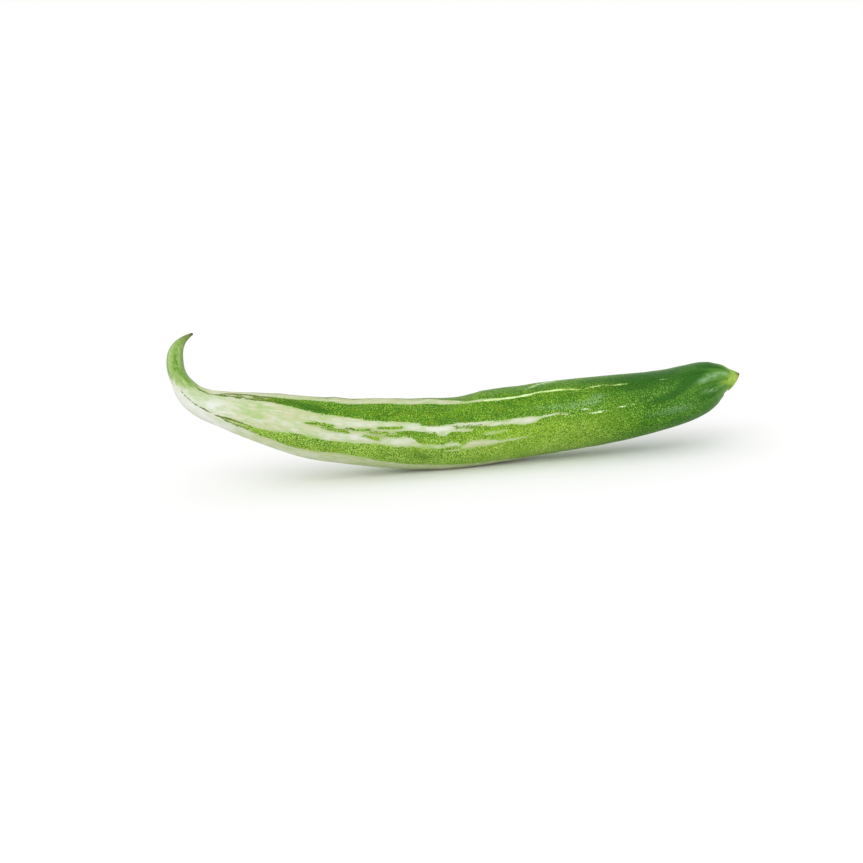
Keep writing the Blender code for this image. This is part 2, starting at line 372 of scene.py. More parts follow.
# Soft patches of colour: the distance along, the angle, half the length and half the width in millimetres,
# and how strong the patch is.
PATCH_TABLES = {
    "lime": (
        (222, -8, 12, 2.2, 0.6), (240, -5, 12, 2, 0.8), (248, -17, 12, 2.4, 1), (268, -14, 16, 4, 0.7),
        (284, -20, 12, 4, 0.45), (309, -8, 8, 2.6, 0.5), (318, -22, 22, 7, 0.45), (192, -20, 14, 3, 0.4),
        (258, -46, 34, 7, 0.75), (79, -29, 8, 1.4, 1), (94, -33, 9, 2.6, 0.6), (150, -38, 30, 3, 0.3),
        (150, 4, 9, 1.4, 0.3), (176, 8, 9, 1.2, 0.9), (166, -8, 7, 1.4, 0.7), (270, 150, 40, 10, 0.5),
    ),
    "olive": (
        (92, 49, 6, 1.5, 0.9), (78, 53, 8, 1.6, 0.5), (206, 76, 12, 1.6, 0.7), (223, 72, 7, 1.6, 0.9),
        (136, 76, 8, 1.6, 0.5), (99, 46, 5, 1.2, 0.6), (106, 55, 8, 1.2, 0.5), (226, 6, 8, 0.8, 0.6),
        (214, -26, 4, 1.6, 0.5), (240, -34, 14, 3, 0.4), (128, -42, 16, 1.4, 0.5), (130, 7, 7, 1.6, 0.6),
        (142, 0, 8, 1.6, 0.7), (166, -3, 8, 3, 0.7), (175, 7.5, 6, 0.8, 0.6), (300, 44, 20, 1.6, 0.3),
        (392, -32, 2, 1, 0.8), (75, 186, 12, 2, 0.5),
    ),
    # Waxy bloom and painted sheen: the patches on the crest, at 62 to 81 degrees, and those at the stalk,
    # from 379 on, are painted highlights.
    "bloom": (
        (272, 18, 5, 1.2, 0.25), (281, 14, 4, 1.4, 0.45), (293, 13, 7, 2.4, 0.4), (305, 16, 5, 1.8, 0.6),
        (309, 24, 4, 1.6, 0.45), (266, 62, 3, 0.8, 0.5), (272, 67, 5, 1, 0.6), (280, 71, 5, 1, 0.6),
        (290, 81, 9, 1.2, 0.4), (352, -24, 12, 2.2, 0.3), (360, -30, 8, 1.8, 0.25), (379, 13, 4, 1.5, 0.6),
        (383, 18, 4, 1.6, 1), (388, 25, 4, 1.3, 0.9), (392, 24, 2, 1.2, 0.7), (379, -12, 4, 1, 0.7),
        (384, -19, 4, 1, 0.7), (330, 150, 20, 5, 0.4),
    ),
    "dark": (
        (106, 46, 7, 3, 0.6), (122, 38, 9, 3.2, 0.65), (197, -38, 6, 3.4, 0.7), (118, 46, 8, 2, 0.5),
        (132, 36, 9, 1.6, 0.4), (206, 20, 10, 2.5, 0.3), (346, 0, 6, 1.6, 1), (352, 1, 6, 2, 1),
        (358, 5, 5, 2.2, 1), (364, 11, 5, 2.5, 1), (370, 20, 5, 2.6, 1), (376, 31, 5, 2.2, 1),
        (346, 40, 20, 7, 0.8), (354, 62, 22, 6, 1), (371, 42, 6, 1.8, 0.9), (378, 39, 5, 1.2, 0.8),
        (386, 50, 5, 1.2, 0.9), (369, 26, 6, 2.4, 0.7), (380, 2, 5, 1, 0.5), (388, -34, 4, 2, 0.3),
        (270, 58, 5, 1.6, 0.5), (288, 60, 14, 4, 0.45), (308, 60, 14, 5, 0.6), (330, 55, 14, 7, 0.7),
        (328, 34, 12, 4, 0.5), (384, 62, 8, 3, 1), (366, -66, 24, 6, 0.3), (226, 78, 8, 3, 0.3),
        (340, 200, 40, 16, 0.5),
    ),
    "tint": (
        (84, 7, 4.5, 2.6, 0.8), (92, 3, 5, 2.4, 0.45), (44, 16, 6, 1.8, 0.4), (50, 42, 9, 2, 0.6),
        (80, 28, 7, 1.6, 0.5), (94, 24, 6, 2, 0.5), (60, 34, 8, 2, 0.4), (50, 10, 6, 3, 0.4),
        (135, 14, 8, 2, 0.3), (200, -21, 6, 1.8, 0.9), (214, -19, 3, 1, 0.5), (242, -10, 6, 1.2, 0.9),
        (262, -24, 8, 1, 0.7), (100, 150, 8, 4, 0.4),
    ),
    # Whitish patches of the pale ground; the two on the crest, at 73 and 83 degrees, are painted highlights.
    "white": (
        (36, -62, 9, 3.4, 1), (45, -38, 9, 2.8, 1), (54, -50, 12, 5, 1), (52, -80, 14, 4, 1),
        (48, -2, 8, 2.2, 0.9), (58, -4, 10, 3, 0.9), (62, 22, 10, 3, 0.5), (70, -56, 14, 5, 0.8),
        (125, -66, 25, 4, 0.5), (66, 6, 8, 1.8, 0.5), (74, -6, 8, 1.6, 0.5), (108, -2, 10, 2, 0.4),
        (140, -9, 18, 2.4, 0.6), (140, 12, 14, 2.4, 0.5), (160, -9, 12, 2, 0.7), (165, 12, 16, 2.4, 0.5),
        (180, -12, 12, 3, 0.7), (190, 10, 14, 2.6, 0.6), (208, 8, 12, 2.4, 0.8), (302, 2, 14, 4, 1),
        (323, 1, 8, 3, 1), (352, 45, 6, 2, 1), (228, 8, 10, 1.4, 0.7), (250, 3, 8, 1.2, 0.5),
        (264, 0, 6, 1.8, 0.9), (212, -19, 4, 1.2, 0.5), (238, -24, 4, 1.4, 0.6), (248, -25, 8, 1, 0.9),
        (275, 73, 9, 2.6, 0.9), (292, 83, 8, 2, 0.6), (150, 215, 30, 5, 0.4),
    ),
    "tail_deep": (
        (16, -3, 3.5, 0.8, 0.8), (20, 10, 3.5, 0.9, 0.9), (9, 14, 3, 0.6, 0.7), (12, -1, 3, 0.8, 0.6),
        (25, 14, 5, 1.8, 1), (31, 33, 5, 1.3, 1), (36, 44, 5, 1, 0.9), (41, 52, 5, 0.8, 0.6),
        (27, -4, 4, 1.1, 0.5), (24, 150, 9, 1.4, 0.6), (20, 220, 8, 1.2, 0.6),
    ),
    # Lighter patches of the tail; the two small ones at 23 and 27 degrees are painted glints.
    "tail_light": (
        (18, -42, 5, 1.3, 0.6), (25, -34, 5, 1.4, 0.6), (34, -26, 4, 1.6, 0.7), (36, 23, 2.5, 0.6, 0.9),
        (39.5, 27, 2.5, 0.6, 0.8), (22, 34, 6, 0.8, 0.4), (30, 180, 8, 1.6, 0.6),
    ),
    # Greyish patches of the tail: those at about 74 to 80 degrees on either side lie along its outlines and
    # are painted shade, the others are grey spots.
    "tail_grey": (
        (12, 74, 9, 1.5, 0.9), (24, 76, 10, 2.2, 1), (36, 80, 9, 2.2, 0.8), (10, -74, 8, 1.3, 0.6),
        (20, -74, 9, 2, 0.5), (29, -44, 4, 0.9, 0.6), (33, -36, 3, 0.7, 0.5), (30, 130, 12, 1.4, 0.4),
    ),
    "yellow": (
        (389, -6, 3, 1, 0.3), (391.5, -13, 2.5, 1.3, 0.45), (394, -18, 1.6, 1.6, 0.7),
        (395, 14, 2.5, 3, 0.9), (393, 70, 3, 2, 0.5), (392, 170, 4, 4, 0.6),
    ),
}

# The same for the stub of the stalk.
STUB_PATCH_TABLES = {
    "green": (
        (392, -60, 3, 3, 0.9), (393, 60, 1.6, 2, 0.5), (396, -10, 2, 0.7, 0.5), (393.5, -38, 1.5, 1.3, 1),
        (396, 62, 3, 1, 0.7), (394, 180, 3, 4, 0.6),
    ),
    "brown": (
        (398, 56, 1.3, 1.5, 1), (396.5, 88, 1.6, 1.2, 0.6), (395.5, -56, 1.2, 1, 0.8),
        (399, 20, 1, 3, 0.35), (396, 200, 1.6, 1.4, 0.5),
    ),
}

# The green of the curled end reaches this far from the dry tip, farther on the upper side.
TAIL_LENGTH = 38
TAIL_SLANT = 9

# The painted shade along the upper outline, a greyish band along the top of the pale part: its angle and
# half width in degrees, and where it sets in and ends.
RIM_ANGLE = 81
RIM_HALF_WIDTH = 8
RIM_START = (55, 90)
RIM_END = (205, 240)

# Where the tail's whiter ground ends, and where the deeper green and the smooth shoulder set in.
WHITE_END = (60, 125)
STALK_END = (280, 362)
SMOOTH_END = (345, 386)

# The green is lighter on the lower side: the angles over which that sets in at the front and at the back,
# and where it ends.
LIGHT_FRONT = (15, -25)
LIGHT_BACK = (-180, -140)
LIGHT_END = (285, 350)


def srgb(red, green, blue):
    """A colour given from 0 to 255 as screens show it, in the linear light that the shader takes."""
    channels = (np.array((red, green, blue)) / 255).tolist()
    linear = [c / 12.92 if c <= 0.04045 else ((c + 0.055) / 1.055) ** 2.4 for c in channels]
    return (*linear, 1.0)


# Colours of the skin.
DEEP_GREEN = srgb(58, 110, 0)
LIGHT_GREEN = srgb(100, 146, 16)
OLIVE_GREEN = srgb(110, 128, 8)
COOL_GREEN = srgb(48, 112, 22)
DARK_SPECK = srgb(36, 84, 0)
DEEP_FLECK = srgb(134, 180, 36)
LIGHT_FLECK = srgb(184, 210, 102)
END_GREEN = srgb(38, 98, 2)
END_DEEP = srgb(24, 86, 2)
SHOULDER_GREEN = srgb(66, 118, 36)
END_FLECK = srgb(114, 166, 46)
DEEP_DOT = srgb(162, 206, 78)
LIGHT_DOT = srgb(188, 218, 114)
END_DOT = srgb(150, 196, 84)
LIME = srgb(120, 164, 6)
OLIVE = srgb(126, 134, 34)
PALE = srgb(180, 190, 138)
PALE_CREAM = srgb(194, 194, 154)
PALE_WHITE = srgb(198, 203, 171)
GREY_WHITE = srgb(215, 218, 209)
GREEN_WHITE = srgb(216, 238, 188)
PALE_TINT = srgb(154, 186, 110)
PALE_LIME = srgb(154, 176, 72)
RIM_SHADE_GREY = srgb(132, 140, 96)
DARK_LINE = srgb(84, 112, 14)
PALE_LINE = srgb(186, 214, 120)
BLOOM_AND_SHEEN = srgb(140, 176, 134)
TAIL_GREEN = srgb(146, 174, 98)
TAIL_DEEP = srgb(96, 142, 38)
TAIL_LIGHT = srgb(178, 202, 136)
TAIL_GREY_AND_SHADE = srgb(108, 130, 92)
TIP_OLIVE = srgb(104, 116, 50)
TIP_BROWN = srgb(96, 86, 62)

# Colours of the stalk and the floor.
STALK_YELLOW = srgb(156, 184, 76)
STALK_GREEN = srgb(100, 150, 48)
STALK_BROWN = srgb(92, 92, 34)
CUT_FLESH = srgb(196, 202, 128)
CUT_RIM = srgb(172, 176, 108)
FLOOR_WHITE = srgb(243, 243, 243)


def section_at(distances):
    """The x, y, height and radius at each distance, on a smooth cubic through the stations."""
    distances = np.asarray(distances, float)
    first = np.clip(np.searchsorted(DISTANCES, distances) - 1, 0, len(DISTANCES) - 2)
    span = (DISTANCES[first + 1] - DISTANCES[first])[..., None]
    part = (distances - DISTANCES[first])[..., None] / span
    start_weight = 2 * part**3 - 3 * part**2 + 1
    start_slope_weight = (part**3 - 2 * part**2 + part) * span
    end_slope_weight = (part**3 - part**2) * span
    return (
        start_weight * VALUES[first]
        + (1 - start_weight) * VALUES[first + 1]
        + start_slope_weight * SLOPES[first]
        + end_slope_weight * SLOPES[first + 1]
    )


def unit(vectors):
    return vectors / np.linalg.norm(vectors, axis=-1, keepdims=True)


def outward_at(distances, angles):
    """The direction straight out of the skin at each place."""
    nearby = 0.05
    ahead = unit((section_at(distances + nearby) - section_at(distances - nearby))[..., :3])
    front = unit(TO_CAMERA - (ahead @ TO_CAMERA)[..., None] * ahead)
    upper = np.cross(front, ahead)
    turn = np.radians(angles)[..., None]
    return np.cos(turn) * front + np.sin(turn) * upper


def turned(angles):
    """An angle brought to between -180 and 180 degrees."""
    return (angles + 180) % 360 - 180


def smooth_step(values, start, end):
    part = np.clip((values - start) / (end - start), 0, 1)
    return part * part * (3 - 2 * part)


def soft_spots(distances, angles, spots, per_degree=1.0):
    """Spots that add up, each strongest at its middle. Their width is in units of per_degree."""
    total = np.zeros(distances.shape)
    for along, angle, half_length, half_width, height in spots:
        forward = (distances - along) / half_length
        sideways = turned(angles - angle) * per_degree / half_width
        total += height * np.exp(-(forward**2) - sideways**2)
    return total


def on_tube(distances, angles, radii):
    """Coordinates in millimetres on a straightened gourd: along it, towards the camera and upwards."""
    turn = np.radians(angles)
    return np.stack((distances, radii * np.cos(turn), radii * np.sin(turn)), axis=-1)


def swelling(distances, angles, radii):
    """How far the skin stands out: slow swellings that fade out at both ends, and the bumps."""
    total = np.zeros(distances.shape)
    tube = on_tube(distances, angles, STRAIGHT_RADIUS)
    for number, (height, length, width) in enumerate(SWELLINGS):
        places = tube / (length, width, width) + (SWELLING_SHIFT * number, 0, 0)
        values = [noise.noise(Vector(place)) for place in places.reshape(-1, 3)]
        total += height * np.array(values).reshape(distances.shape)
    tip_fade = np.clip(radii / FULL_SWELLING_RADIUS, 0, 1)
    joint_fade = np.clip((JOINT_DISTANCE - distances) / FADE_LENGTH, 0, 1)
    return total * tip_fade * joint_fade + soft_spots(distances, angles, BUMPS)


def leaning(angle):
    """The direction along +X, turned up by this angle in the upright plane."""
    return np.array((math.cos(angle), 0.0, math.sin(angle)))


def distance_to_plane(angles, point, lean, reach):
    """At each angle, the distance along the line where the round skin passes through a leaning plane."""
    normal = leaning(lean)
    low = np.full(angles.shape, JOINT_DISTANCE - reach)
    high = np.full(angles.shape, DISTANCES[-1])
    for _ in range(HALVINGS):
        middle = (low + high) / 2
        section = section_at(middle)
        places = section[..., :3] + section[..., 3:] * outward_at(middle, angles)
        past = (places - point) @ normal > 0
        high = np.where(past, middle, high)
        low = np.where(past, low, middle)
    return (low + high) / 2


def joint_distances(angles):
    """At each angle, the distance along the line of the joint between the fruit and the stalk."""
    turns, places = np.unique(angles, return_inverse=True)
    return distance_to_plane(turns, JOINT_POINT, JOINT_LEAN, JOINT_REACH)[places].reshape(angles.shape)


def band_depth(distances, angles, radii, rows):
    """How deep each place lies inside a band, in millimetres. It is under zero outside."""
    along, low, high = np.array(rows, float).T
    middle = np.interp(distances, along, (low + high) / 2)
    half = np.interp(distances, along, (high - low) / 2)
    sideways = np.radians(half - np.abs(turned(angles - middle))) * radii
    lengthwise = np.minimum(distances - along[0], along[-1] - distances) * END_SLOPE
    return np.minimum(sideways, lengthwise)


def line_depth(distances, angles, radii, rows):
    """The same for a thin line."""
    along, middle, half = np.array(rows, float).T
    off = np.radians(np.abs(turned(angles - np.interp(distances, along, middle)))) * radii
    lengthwise = np.minimum(distances - along[0], along[-1] - distances)
    return np.minimum(np.interp(distances, along, half) - off, lengthwise)


def paint_green(distances, angles, radii):
    """How deep each place lies in the green, in millimetres. It is under zero on the pale ground."""
    depth = np.full(distances.shape, -DEEPEST)
    for rows in GREEN_BANDS:
        depth = np.maximum(depth, band_depth(distances, angles, radii, rows))
    for rows in PALE_STREAKS:
        depth = np.minimum(depth, -band_depth(distances, angles, radii, rows) - STREAK_GROWTH)
    for rows in GREEN_DASHES:
        depth = np.maximum(depth, band_depth(distances, angles, radii, rows) + DASH_GROWTH)
    return np.clip(depth, -DEEPEST, DEEPEST)


def paint_lines(distances, angles, radii, lines):
    """How deep each place lies in the nearest line, in millimetres."""
    depth = np.full(distances.shape, -DEEPEST)
    for rows in lines:
        depth = np.maximum(depth, line_depth(distances, angles, radii, rows))
    return depth


def paint_patches(distances, angles, radii, patches):
    """The strength of soft patches, whose widths are in millimetres on the skin."""
    return np.clip(soft_spots(distances, angles, patches, np.radians(radii)), 0, 1)


def skin_attributes(distances, angles, radii):
    """What the skin's material reads at each place: coordinates in millimetres, and painted masks."""
    lower_side = smooth_step(turned(angles), *LIGHT_FRONT) * smooth_step(turned(angles), *LIGHT_BACK)
    off_rim = turned(angles - RIM_ANGLE) / RIM_HALF_WIDTH
    rim_length = smooth_step(distances, *RIM_START) * (1 - smooth_step(distances, *RIM_END))
    attributes = {
        "place": on_tube(distances, angles, radii),
        "lengthwise": on_tube(distances, angles, STRAIGHT_RADIUS),
        "green_depth": paint_green(distances, angles, radii),
        "line_depth": paint_lines(distances, angles, radii, DARK_LINES),
        "pale_line_depth": paint_lines(distances, angles, radii, PALE_LINES),
        "light_side": lower_side * (1 - smooth_step(distances, *LIGHT_END)),
        "whiter": 1 - smooth_step(distances, *WHITE_END),
        "top_rim_shade": np.exp(-(off_rim**2)) * rim_length,
        "stalk_end": smooth_step(distances, *STALK_END),
        "smooth_end": smooth_step(distances, *SMOOTH_END),
        "tail_depth": TAIL_LENGTH + TAIL_SLANT * np.sin(np.radians(angles)) - distances,
        "from_tip": distances,
        "from_joint": joint_distances(angles) - distances,
    }
    for key, patches in PATCH_TABLES.items():
        attributes[key] = paint_patches(distances, angles, radii, patches)
    return attributes


def new_object(name, data):
    thing = bpy.data.objects.new(name, data)
    bpy.context.scene.collection.objects.link(thing)
    return thing


def new_mesh_object(name, points, faces, attributes, bake_map, material):
    """A smooth mesh in metres from points in millimetres, with its attributes and a map for baking."""
    mesh = bpy.data.meshes.new(name)
    mesh.from_pydata((points * MM).tolist(), [], faces)
    mesh.shade_smooth()
    for key, values in attributes.items():
        kind, field = ("FLOAT_VECTOR", "vector") if values.ndim == 2 else ("FLOAT", "value")
        layer = mesh.attributes.new(key, kind, "POINT")
        layer.data.foreach_set(field, values.astype(np.float32).ravel())
    uv_layer = mesh.uv_layers.new(name="OFBake")
    uv_layer.data.foreach_set("uv", np.array(bake_map, np.float32).ravel())
    mesh.materials.append(material)
    mesh.update()
    return new_object(name, mesh)


def grid_faces(ring_count, sides, map_place):
    """The faces between the rings of a grid, and their places on the map.

    The function map_place takes the first ring of the face, the corner's ring and its part of the round.
    """
    faces, bake_map = [], []
    for first in range(ring_count - 1):
        for side in range(sides):
            corners = ((first, side), (first, side + 1), (first + 1, side + 1), (first + 1, side))
            faces.append([ring * sides + corner % sides for ring, corner in corners])
            bake_map += [map_place(first, ring, corner / sides) for ring, corner in corners]
    return faces, bake_map


def disc_place(disc, part, share=1.0):
    """A place on the map at a part of the round, and at a share of the disc's radius."""
    x, y, radius = disc
    turn = 2 * math.pi * part
    return (x + share * radius * math.cos(turn), y + share * radius * math.sin(turn))


def fan_faces(centre, ring, sides, disc, share=1.0, backwards=False):
    """The faces between a ring and a centre point, and their places on a disc of the map."""
    faces, bake_map = [], []
    for side in range(sides):
        pair = (side + 1, side) if backwards else (side, side + 1)
        faces.append([centre, *(ring * sides + corner % sides for corner in pair)])
        bake_map += [disc[:2], *(disc_place(disc, corner / sides, share) for corner in pair)]
    return faces, bake_map


def fruit_grid():
    """Distances and angles of the fruit's mesh. The rings near the stalk lean over to the joint's plane."""
    rings = [0.0]
    while rings[-1] < JOINT_DISTANCE - RING_STEP:
        radius = section_at(rings[-1])[3]
        rings.append(rings[-1] + min(RING_STEP, THIN_STEP_PER_RADIUS * radius + THIN_STEP))
    rings[-1] = JOINT_DISTANCE
    turns = SEAM_ANGLE + np.arange(SIDES) * 360 / SIDES
    distances, angles = np.meshgrid(rings, turns, indexing="ij")
    near_joint = np.clip((distances - JOINT_DISTANCE + JOINT_BLEND) / JOINT_BLEND, 0, 1)
    return distances + near_joint * (joint_distances(angles) - JOINT_DISTANCE), angles


def strip_places(ring_count):
    """The function that gives the fruit's places on the map, where its rings fill a few strips."""
    per_strip = math.ceil((ring_count - 1) / BAKE_STRIPS)
    strip_height = STRIPS_HEIGHT / BAKE_STRIPS

    def place(first, ring, part):
        strip = first // per_strip
        across = (ring - strip * per_strip) / per_strip
        return (
            BAKE_MARGIN + across * (1 - 2 * BAKE_MARGIN),
            strip * strip_height + BAKE_MARGIN + part * (strip_height - 2 * BAKE_MARGIN),
        )

    return place


def with_centres(grid):
    """The values of a grid in a row, then the means of its first and its last ring."""
    flat = grid.reshape(-1, *grid.shape[2:])
    return np.concatenate((flat, grid[:1].mean(axis=1), grid[-1:].mean(axis=1)))


def build_fruit():
    distances, angles = fruit_grid()
    section = section_at(distances)
    radii = section[..., 3]
    standing = radii + swelling(distances, angles, radii)
    points = section[..., :3] + standing[..., None] * outward_at(distances, angles)
    points[..., 2] = np.maximum(points[..., 2], 0.0)
    attributes = skin_attributes(distances, angles, radii)

    ring_count, sides = distances.shape
    faces, bake_map = grid_faces(ring_count, sides, strip_places(ring_count))
    tip_centre = ring_count * sides
    tip = fan_faces(tip_centre, 0, sides, TIP_DISC, backwards=True)
    joint = fan_faces(tip_centre + 1, ring_count - 1, sides, JOINT_DISC)
    fruit = new_mesh_object(
        "gourd_fruit",
        with_centres(points),
        faces + tip[0] + joint[0],
        {key: with_centres(values) for key, values in attributes.items()},
        bake_map + tip[1] + joint[1],
        skin_material(),
    )
    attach(fruit, "root")
    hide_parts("fruit")


def stub_side(turns):
    """The distances along the line and the points of the stub's side, from the joint to the slanted cut."""
    low_side = np.exp(-((turned(turns - LOW_SIDE_ANGLE) / LOW_SIDE_HALF_WIDTH) ** 2))
    start = joint_distances(turns) - STUB_TUCK
    end = distance_to_plane(turns, CUT_POINT, CUT_LEAN, CUT_REACH) + LOW_SIDE_REACH * low_side
    parts = STUB_PARTS[:, None]
    distances = start + parts * (end - start)
    angles = np.broadcast_to(turns, distances.shape)
    section = section_at(distances)
    radii = section[..., 3]
    ridges = RIDGE_SHARE * radii * np.cos(np.radians(angles) * RIDGE_COUNT + RIDGE_SHIFT)
    narrowed = -STUB_NARROWING * (1 - smooth_step(parts, 0.0, 0.2))
    flare = STUB_FLARE * smooth_step(parts, 0.75, 1.0)
    rounded = -RIM_ROUNDING * smooth_step(parts, 0.93, 1.0) ** 2
    dent = -LOW_SIDE_DENT * smooth_step(parts, 0.1, 0.5) + LOW_SIDE_RETURN * smooth_step(parts, 0.6, 1.0)
    standing = radii + ridges + narrowed + flare + rounded + low_side * dent
    standing += soft_spots(distances, angles, BUMPS)
    return distances, section[..., :3] + standing[..., None] * outward_at(distances, angles)


def cut_face(rim):
    """The points of the cut face in rings inside its rim, sunk in the middle, and the centre point."""
    middle = rim.mean(axis=0)
    inward = -leaning(CUT_LEAN)
    shares = CUT_SHARES[:, None, None]
    sunk = CUT_DEPTH * smooth_step(1 - shares, 0.05, 0.5) - CUT_RISE * smooth_step(1 - shares, 0.75, 1.0)
    return middle + (rim - middle) * shares + inward * sunk, middle + inward * (CUT_DEPTH - CUT_RISE)


def stub_attributes(distances, turns):
    """What the stub's material reads on its side, on the cut face and at the centre point."""
    face_distances = np.broadcast_to(distances[-1], (len(CUT_SHARES), STUB_SIDES))
    along = np.concatenate((distances, face_distances))
    angles = np.broadcast_to(turns, along.shape)
    radii = section_at(along)[..., 3] * np.concatenate((np.ones(STUB_RINGS), CUT_SHARES))[:, None]
    place = on_tube(along, angles, radii)
    flesh = np.concatenate((np.zeros(STUB_RINGS), np.ones(len(CUT_SHARES))))
    rim = np.concatenate((smooth_step(STUB_PARTS, 0.86, 1.0), smooth_step(CUT_SHARES, 0.75, 0.95)))
    attributes = {
        "place": np.vstack((place.reshape(-1, 3), (distances[-1].mean(), 0.0, 0.0))),
        "flesh": np.append(np.repeat(flesh, STUB_SIDES), 1.0),
        "rim": np.append(np.repeat(rim, STUB_SIDES), 0.0),
    }
    for key, patches in STUB_PATCH_TABLES.items():
        attributes[key] = np.append(paint_patches(along, angles, radii, patches), 0.0)
    return attributes


def stub_map_place(first, ring, part):
    """The side of the stub fills the lower half of its map, and the cut face is a disc above it."""
    if first < STUB_RINGS - 1:
        margin, width, height = STUB_MAP
        return (margin + width * part, margin + height * ring / (STUB_RINGS - 1))
    return disc_place(CUT_DISC, part, 1 - (ring - STUB_RINGS + 1) / CUT_RINGS)


def build_stalk():
    """The stub of the stalk, with shallow ridges, a slanted cut and a shrunken middle to the cut face."""
    turns = np.arange(STUB_SIDES) * 360 / STUB_SIDES
    distances, side_points = stub_side(turns)
    face_points, centre_point = cut_face(side_points[-1])
    grid = np.concatenate((side_points, face_points))
    faces, bake_map = grid_faces(len(grid), STUB_SIDES, stub_map_place)
    middle = fan_faces(len(grid) * STUB_SIDES, len(grid) - 1, STUB_SIDES, CUT_DISC, CUT_SHARES[-1])
    stalk = new_mesh_object(
        "gourd_stalk",
        np.vstack((grid.reshape(-1, 3), centre_point)),
        faces + middle[0],
        stub_attributes(distances, turns),
        bake_map + middle[1],
        stalk_material(),
    )
    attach(stalk, "root")
    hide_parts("stalk")


class Graph:
    """The nodes of one material, added from the pattern's side to the shader."""

    def __init__(self, name):
        self.material = bpy.data.materials.new(name)
        self.material.use_nodes = True
        self.tree = self.material.node_tree
        self.shader = self.tree.nodes["Principled BSDF"]

    def feed(self, socket, value):
        """Feeds a socket from another node, from the mesh's mask of this name, or with a plain value."""
        if isinstance(value, str):
            value = self.node("Attribute", "Fac", {}, attribute_name=value)
        if isinstance(value, bpy.types.NodeSocket):
            self.tree.links.new(value, socket)
        else:
            socket.default_value = value

    def node(self, kind, output, inputs, **settings):
        """One output of a new node with these settings, fed with these inputs."""
        node = self.tree.nodes.new("ShaderNode" + kind)
        for key, value in settings.items():
            setattr(node, key, value)
        for key, value in inputs.items():
            self.feed(node.inputs[key], value)
        return node.outputs[output]

    def vector(self, name):
        return self.node("Attribute", "Vector", {}, attribute_name=name)

    def math(self, operation, first, second):
        return self.node("Math", 0, {0: first, 1: second}, operation=operation)

    def add(self, first, second):
        return self.math("ADD", first, second)

    def times(self, first, second):
        return self.math("MULTIPLY", first, second)

    def noise(self, vector, size, detail=2.0, along=1.0):
        """Noise between about 0.2 and 0.8 with spots of about this size in millimetres.

        Where along is under one, the spots are drawn out along the gourd by as much.
        """
        if along != 1.0:
            inputs = {0: vector, 1: (along, 1.0, 1.0)}
            vector = self.node("VectorMath", 0, inputs, operation="MULTIPLY")
        return self.node("TexNoise", "Fac", {"Vector": vector, "Scale": 1 / size, "Detail": detail})

    def dot_distance(self, vector, spacing):
        """How far each place is from the nearest of many scattered points, as a part of their spacing."""
        return self.node("TexVoronoi", "Distance", {"Vector": vector, "Scale": 1 / spacing})

    def moved(self, value, waves, height):
        """The value, moved up and down by noise of this height."""
        return self.add(value, self.times(self.add(waves, -0.5), 2 * height))

    def step(self, value, start, end):
        """A smooth step from zero at the start to one at the end."""
        inputs = {"Value": value, "From Min": start, "From Max": end}
        return self.node("MapRange", "Result", inputs, interpolation_type="SMOOTHSTEP")

    def mix(self, factor, first, second):
        return self.node("Mix", 2, {0: factor, 6: first, 7: second}, data_type="RGBA")

    def mix_numbers(self, factor, first, second):
        return self.node("Mix", 0, {0: factor, 2: first, 3: second}, data_type="FLOAT")

    def tint(self, colour, mask, share, tone):
        """The colour turned towards a tone where the mask is high, by this share at most."""
        return self.mix(self.times(mask, share), colour, tone)

    def bump(self, height, distance, strength):
        inputs = {"Height": height, "Distance": distance, "Strength": strength}
        self.feed(self.shader.inputs["Normal"], self.node("Bump", "Normal", inputs))

    def finish(self, colour, roughness, specular):
        self.feed(self.shader.inputs["Base Color"], colour)
        self.feed(self.shader.inputs["Roughness"], roughness)
        self.feed(self.shader.inputs["Specular IOR Level"], specular)
        return self.material


def skin_material():
    graph = Graph("gourd skin")
    place = graph.vector("place")
    lengthwise = graph.vector("lengthwise")
    teeth = graph.noise(lengthwise, 1.5, along=FIBRE_SQUEEZE)
    specks = graph.noise(place, SPECK_SIZE, detail=1.0)

    def ragged(name, tooth, speck):
        """A painted depth whose edge is moved by teeth and specks of these heights."""
        return graph.moved(graph.moved(name, teeth, tooth), specks, speck)

    edge = ragged("green_depth", 1.3, 0.9)
    is_green = graph.step(edge, -0.25, 0.3)
    near_green = graph.step(edge, -1.4, 0.0)
    green = green_colour(graph, place, lengthwise, specks)
    pale = pale_colour(graph, place, lengthwise, near_green)
    colour = graph.mix(is_green, pale, green)

    line = ragged("line_depth", 0.8, 0.8)
    colour = graph.tint(colour, graph.step(line, -0.5, 0.0), 0.95, DARK_LINE)

    pale_line = ragged("pale_line_depth", 0.7, 0.5)
    bright = graph.step(graph.noise(place, 2.0, detail=1.0, along=0.3), 0.35, 0.55)
    bright = graph.times(bright, graph.step(pale_line, 0.1, 0.5))
    whitish = graph.math("MAXIMUM", bright, "white")
    line_tone = graph.mix(whitish, PALE_LINE, GREEN_WHITE)
    colour = graph.mix(graph.step(pale_line, -0.3, 0.15), colour, line_tone)

    colour = with_bloom_and_sheen(graph, place, specks, colour)
    colour = with_tail(graph, place, specks, colour)
    colour = with_yellow_end(graph, lengthwise, colour)

    fine = graph.noise(place, 0.9, detail=3.0)
    roughness = graph.moved(0.44, fine, 0.1)
    height = graph.add(graph.times(fine, 0.5), graph.times(teeth, 0.7))
    height = graph.add(height, graph.times(is_green, -0.25))
    graph.bump(height, 0.22 * MM, 0.6)
    return graph.finish(colour, roughness, SKIN_SPECULAR)


